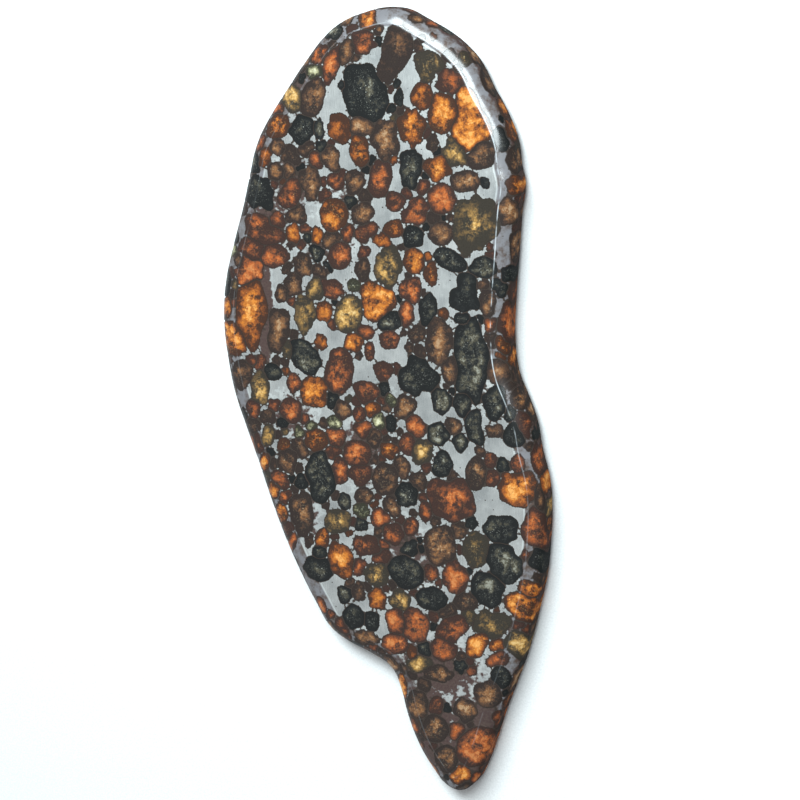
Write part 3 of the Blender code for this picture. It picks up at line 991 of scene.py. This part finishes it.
def crystalMaterial(kind):
    look = crystalFinish
    n = Nodes(kind["name"] + "_polished")
    tone, rim = n.field("tone"), n.field("rimShade")
    shift = n.make("ShaderNodeCombineXYZ")
    for socket, size in zip(shift.inputs, (70.0, 45.0, 30.0)):
        n.join(n.math("MULTIPLY", tone, size), socket)
    place = n.moved((1, 1, 1), shift.outputs[0])
    patch = n.noise(place, look["patch"], 2, 0.5)
    mottle = n.noise(place, look["mottle"], 5, 0.62)
    grain = n.noise(place, look["grain"], 3, 0.6)
    warped = n.make("ShaderNodeVectorMath", operation="ADD")
    n.join(place, warped.inputs[0])
    n.join(n.math("MULTIPLY", mottle, look["warp"]), warped.inputs[1])
    cracks = n.cells(warped.outputs[0], look["crackSize"], "DISTANCE_TO_EDGE").outputs["Distance"]
    facet = n.part(n.cells(warped.outputs[0], look["crackSize"]).outputs["Color"], 0)
    # a painted glow round a spot near the middle, and painted shade that darkens towards the rim
    core = n.math("MULTIPLY", n.field("glow"), n.span(tone, 0.0, 1.0, 0.0, look["glow"]))
    level = n.math("ADD", n.math("MULTIPLY", rim, look["heart"]), n.math("ADD", core, kind["lift"]))
    sources = {"mottle": mottle, "patch": patch, "grain": grain, "facet": facet, "tone": tone}
    for name, (width, swing) in look["swings"].items():
        level = n.math("ADD", level, n.span(sources[name], 0.5 - width, 0.5 + width, -swing / 2, swing / 2))
    level = n.math("MULTIPLY", level, n.span(rim, 0.0, 1.0, look["rimLevel"], 1.0), clamp=True)
    between = zip(kind["bright"], kind["spark"])
    lightest = tuple(low + (high - low) * look["lightest"] for low, high in between)
    stops = [(0.06, kind["dark"]), (0.33, kind["body"]), (0.76, kind["bright"]), (1.0, lightest)]
    colour = n.ramp(level, stops)
    colour = n.mix(n.span(cracks, 0.0, 0.07, look["crackShade"], 0.0), colour, kind["dark"])
    # painted glints: flecks and small lit dots in the spark colour, kept off the rim
    glintFlecks = n.span(n.noise(place, look["fleck"], 5, 0.8), 0.58, 0.74, 0.0, 0.75)
    specks = n.cells(place, look["sparkleSize"])
    lit = n.math("GREATER_THAN", n.part(specks.outputs["Color"], 0), look["sparkleShare"])
    dot = n.math("MULTIPLY", lit, n.span(specks.outputs["Distance"], 0.08, 0.20, 0.95, 0.0))
    dot = n.math("MULTIPLY", dot, n.span(patch, 0.42, 0.58))
    glint = n.math("MULTIPLY", n.math("MAXIMUM", dot, glintFlecks), n.span(rim, 0.35, 0.9))
    colour = n.mix(glint, colour, kind["spark"])
    # the highlight painted along the crease
    colour = n.mix(n.creaseHighlight(), colour, look["creaseHighlight"])
    n.join(colour, n.shader.inputs["Base Color"])
    n.polish(n.math("ADD", n.math("MULTIPLY", grain, 0.20), look["roughness"] - 0.08))
    n.bump(n.math("ADD", grain, n.math("MULTIPLY", cracks, 1.5)), 0.16, 0.02)
    return n.finish


def metalMaterial():
    look = metalFinish
    n = Nodes("polished_nickel_iron")
    lines = n.noise(n.moved(look["lines"]), 1.0, 3, 0.55)
    cloud = n.noise(n.place, look["cloud"], 4, 0.6)
    fine = n.noise(n.place, look["fine"], 4, 0.65)
    level = n.math("ADD", n.math("MULTIPLY", lines, 0.17), n.math("MULTIPLY", cloud, 0.93))
    colour = n.mix(n.span(level, 0.40, 0.70), look["shade"], look["colour"])
    ground = n.span(n.field("past"), -1.0, -0.5)
    soiled = n.span(n.noise(n.place, look["soiled"], 5, 0.7), 0.45, 0.62)
    colour = n.mix(ground, colour, n.mix(soiled, look["ground"], look["soil"]))
    pits = n.cells(n.place, look["pitSize"])
    hole = n.math("GREATER_THAN", n.part(pits.outputs["Color"], 0), look["pitShare"])
    pit = n.math("MULTIPLY", hole, n.span(pits.outputs["Distance"], 0.06, 0.14, 1.0, 0.0))
    ragged = n.math("ADD", n.field("near"), n.math("MULTIPLY", n.math("SUBTRACT", fine, 0.5), 0.6))
    edge = n.span(ragged, look["edgeWidth"] * 0.5, look["edgeWidth"], 1.0, 0.0)
    blot = n.noise(n.place, look["blot"], 4, 0.55)
    # stains, and the wall's painted shade, turn the metal dark and dull
    stainedAndShaded = n.math("ADD", n.field("stainAndShade"), n.math("MULTIPLY", n.math("SUBTRACT", blot, 0.5), 1.6))
    stainedAndShaded = n.span(stainedAndShaded, 0.22, 0.60)
    colour = n.mix(stainedAndShaded, colour, n.mix(n.span(fine, 0.40, 0.68), look["stainAndShade"], look["soil"]))
    dark = n.math("MAXIMUM", edge, n.math("MULTIPLY", pit, 0.8))
    colour = n.mix(dark, colour, look["edge"])
    # the same highlight painted along the crease
    colour = n.mix(n.creaseHighlight(), colour, crystalFinish["creaseHighlight"])
    n.join(colour, n.shader.inputs["Base Color"])
    dull = n.math("MAXIMUM", n.math("MAXIMUM", stainedAndShaded, dark), n.math("MULTIPLY", ground, 0.92))
    n.join(n.span(dull, 0.0, 1.0, 1.0, 0.0), n.shader.inputs["Metallic"])
    rough = n.math("ADD", n.math("MULTIPLY", lines, 0.16), n.math("MULTIPLY", ground, 0.22))
    n.polish(n.math("ADD", rough, look["roughness"] - 0.08))
    n.bump(n.math("SUBTRACT", n.math("MULTIPLY", lines, 0.35), n.math("MULTIPLY", pit, 2.0)), 0.14, 0.012)
    return n.finish


def plainMaterial(name, colour, roughness, metallic=0.0):
    n = Nodes(name)
    fleck = n.noise(n.place, 3.0, 2)
    lighter = tuple(min(1.0, c * 1.5) for c in colour)
    n.join(n.mix(fleck, colour, lighter), n.shader.inputs["Base Color"])
    n.shader.inputs["Roughness"].default_value = roughness
    n.shader.inputs["Metallic"].default_value = metallic
    return n.finish


# Dark grains of troilite in the metal, scattered over it and set almost flush.

metalGrains = {"density": 0.11, "smallest": 0.10, "largest": 0.34, "flatness": 0.07, "clear": 0.3, "seed": 3}


def grainTree(finish):
    tree = bpy.data.node_groups.new("scatter_grains", "GeometryNodeTree")
    face = tree.interface
    face.new_socket("Geometry", in_out="INPUT", socket_type="NodeSocketGeometry")
    for name in ("Density", "Smallest", "Largest", "Flatness", "Clear"):
        face.new_socket(name, in_out="INPUT", socket_type="NodeSocketFloat")
    face.new_socket("Seed", in_out="INPUT", socket_type="NodeSocketInt")
    face.new_socket("Geometry", in_out="OUTPUT", socket_type="NodeSocketGeometry")
    make = tree.nodes.new
    join = tree.links.new
    given, result = make("NodeGroupInput"), make("NodeGroupOutput")
    near = make("GeometryNodeInputNamedAttribute")
    near.inputs["Name"].default_value = "near"
    wide = make("FunctionNodeCompare")
    join(near.outputs["Attribute"], wide.inputs[0])
    join(given.outputs["Clear"], wide.inputs[1])
    scatter = make("GeometryNodeDistributePointsOnFaces")
    join(given.outputs["Geometry"], scatter.inputs["Mesh"])
    join(wide.outputs["Result"], scatter.inputs["Selection"])
    join(given.outputs["Density"], scatter.inputs["Density"])
    join(given.outputs["Seed"], scatter.inputs["Seed"])
    grain = make("GeometryNodeMeshIcoSphere")
    grain.inputs["Radius"].default_value = 0.5 * mm
    grain.inputs["Subdivisions"].default_value = 1
    size = make("FunctionNodeRandomValue")
    join(given.outputs["Smallest"], size.inputs[2])
    join(given.outputs["Largest"], size.inputs[3])
    flat = make("ShaderNodeMath")
    flat.operation = "MULTIPLY"
    join(size.outputs[1], flat.inputs[0])
    join(given.outputs["Flatness"], flat.inputs[1])
    scale = make("ShaderNodeCombineXYZ")
    join(size.outputs[1], scale.inputs[0])
    join(size.outputs[1], scale.inputs[1])
    join(flat.outputs[0], scale.inputs[2])
    place = make("GeometryNodeInstanceOnPoints")
    join(scatter.outputs["Points"], place.inputs["Points"])
    join(scatter.outputs["Rotation"], place.inputs["Rotation"])
    join(grain.outputs["Mesh"], place.inputs["Instance"])
    join(scale.outputs[0], place.inputs["Scale"])
    real = make("GeometryNodeRealizeInstances")
    paint = make("GeometryNodeSetMaterial")
    paint.inputs["Material"].default_value = finish
    join(place.outputs["Instances"], real.inputs["Geometry"])
    join(real.outputs["Geometry"], paint.inputs["Geometry"])
    join(paint.outputs["Geometry"], result.inputs["Geometry"])
    return tree


def grainPiece(web):
    finish = plainMaterial("dark_troilite", (0.035, 0.028, 0.024), 0.35, 0.4)
    tree = grainTree(finish)
    holder = bpy.data.objects.new("grain_scatter", web.data.copy())
    bpy.context.scene.collection.objects.link(holder)
    scatter = holder.modifiers.new("scatter", "NODES")
    scatter.node_group = tree
    values = {
        "Density": metalGrains["density"] / mm ** 2, "Smallest": metalGrains["smallest"],
        "Largest": metalGrains["largest"], "Flatness": metalGrains["flatness"],
        "Clear": metalGrains["clear"], "Seed": metalGrains["seed"],
    }
    for item in tree.interface.items_tree:
        if item.item_type == "SOCKET" and item.in_out == "INPUT" and item.name in values:
            scatter[item.identifier] = values[item.name]
    bpy.context.view_layer.update()
    seen = holder.evaluated_get(bpy.context.evaluated_depsgraph_get())
    mesh = bpy.data.meshes.new_from_object(seen)
    mesh.name = "troilite_grains"
    bpy.data.objects.remove(holder)
    piece = bpy.data.objects.new("troilite_grains", mesh)
    bpy.context.scene.collection.objects.link(piece)
    print("troilite_grains:", len(mesh.polygons), "faces")
    return piece


# Floor, light and camera. The studio's lengths are in metres, and its box is the soft light, high up beyond
# the broad end.

studio = {
    "floor": (0.48, 0.48, 0.48), "floorHalf": 1.5, "floorGap": 0.05 * mm,
    "sky": (0.95, 0.98, 1.0), "skyStrength": 0.49,
    "boxWay": (0.04, 0.50, 0.86), "boxRun": (-0.78, 0.60, -0.18), "boxAway": 0.50, "boxSize": (0.42, 0.16),
    "boxPower": 5.8, "boxColour": (0.86, 0.97, 1.0),
}


def makeStage():
    mesh = bpy.data.meshes.new("floor")
    half, low = studio["floorHalf"], -studio["floorGap"]
    corners = [(-half, -half, low), (half, -half, low), (half, half, low), (-half, half, low)]
    mesh.from_pydata(corners, [], [(0, 1, 2, 3)])
    floor = bpy.data.objects.new("floor", mesh)
    bpy.context.scene.collection.objects.link(floor)
    mesh.materials.append(plainMaterial("pale_floor", studio["floor"], 0.9))
    world = bpy.data.worlds.new("studio")
    world.use_nodes = True
    sky = world.node_tree.nodes["Background"]
    sky.inputs["Color"].default_value = (*studio["sky"], 1)
    sky.inputs["Strength"].default_value = studio["skyStrength"]
    bpy.context.scene.world = world
    light = bpy.data.lights.new("softbox", "AREA")
    light.shape = "RECTANGLE"
    light.size, light.size_y = studio["boxSize"]
    light.energy = studio["boxPower"]
    light.color = studio["boxColour"]
    box = bpy.data.objects.new("softbox", light)
    way = Vector(studio["boxWay"]).normalized()
    across = way.cross(Vector(studio["boxRun"])).normalized()
    turn = Matrix((across.cross(way), across, way)).transposed().to_4x4()
    box.matrix_world = Matrix.Translation(way * studio["boxAway"]) @ turn
    bpy.context.scene.collection.objects.link(box)


def makeCamera():
    lens = bpy.data.cameras.new("photo_view")
    lens.lens = cameraView["lens"]
    lens.sensor_width = cameraView["sensor"]
    lens.clip_start = 0.01
    camera = bpy.data.objects.new("photo_view", lens)
    turn = Matrix(cameraAxes()).transposed().to_4x4()
    camera.matrix_world = Matrix.Translation(cameraPlace() * mm) @ turn
    bpy.context.scene.collection.objects.link(camera)
    bpy.context.scene.camera = camera


def makeSlice():
    outlines = crystalOutlines()
    tree = outlineTree(outlines)
    pattern = cutPattern(outlines, tree)
    web = webPiece(pattern, tree)
    web.data.materials.append(metalMaterial())
    grains = grainPiece(web)
    made = [(web, "nickel_iron"), (grains, "nickel_iron")]
    for kind in crystalKinds:
        piece = crystalPiece(kind, outlines, pattern)
        piece.data.materials.append(crystalMaterial(kind))
        made.append((piece, kind["slot"]))
    for piece, slot in made:
        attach(piece, "root")
        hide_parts("slice")


makeStage()
makeCamera()
makeSlice()
bpy.context.scene.view_settings.view_transform = "Standard"
